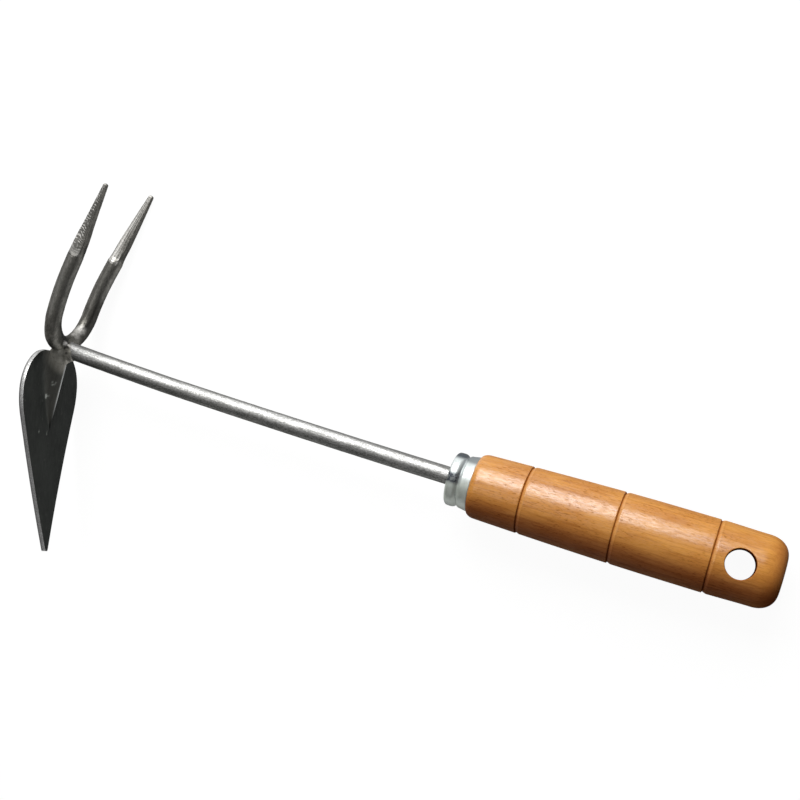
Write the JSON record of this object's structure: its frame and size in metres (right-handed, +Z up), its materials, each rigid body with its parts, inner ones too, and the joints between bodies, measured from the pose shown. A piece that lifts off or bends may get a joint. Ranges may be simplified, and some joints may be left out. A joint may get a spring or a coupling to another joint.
{
  "type": "double hoe",
  "caption": "Hand double hoe: a leaf-shaped hoe blade with a pressed rib and a drawn-point rake fork welded to a round steel shank, with a turned wooden grip.",
  "frame": {"origin": "middle of the footprint at the height of the surface the tool lies on", "axes": "+X runs from the head to the grip's butt, +Y points the way the tines do, +Z is up as the tool lies on its side"},
  "size_m": [0.3342, 0.1696, 0.0464],
  "materials": {
    "beech": "clear varnished, turned",
    "zinc": "bright plated thin steel",
    "bar_steel": "lacquered bar steel with faint mottle",
    "forged_steel": "lacquered forged steel with hammer marks",
    "plate_steel": "lacquered dark pressed plate with a bright ground edge",
    "weld_steel": "lacquered weld bead"
  },
  "bodies": {
    "root": {"grip": "beech", "ferrule": "zinc", "shank": "bar_steel", "fork": "forged_steel", "hoe_blade": "plate_steel", "shank_weld": "weld_steel", "fork_weld_near": "weld_steel", "fork_weld_far": "weld_steel"}
  },
  "joints": []
}
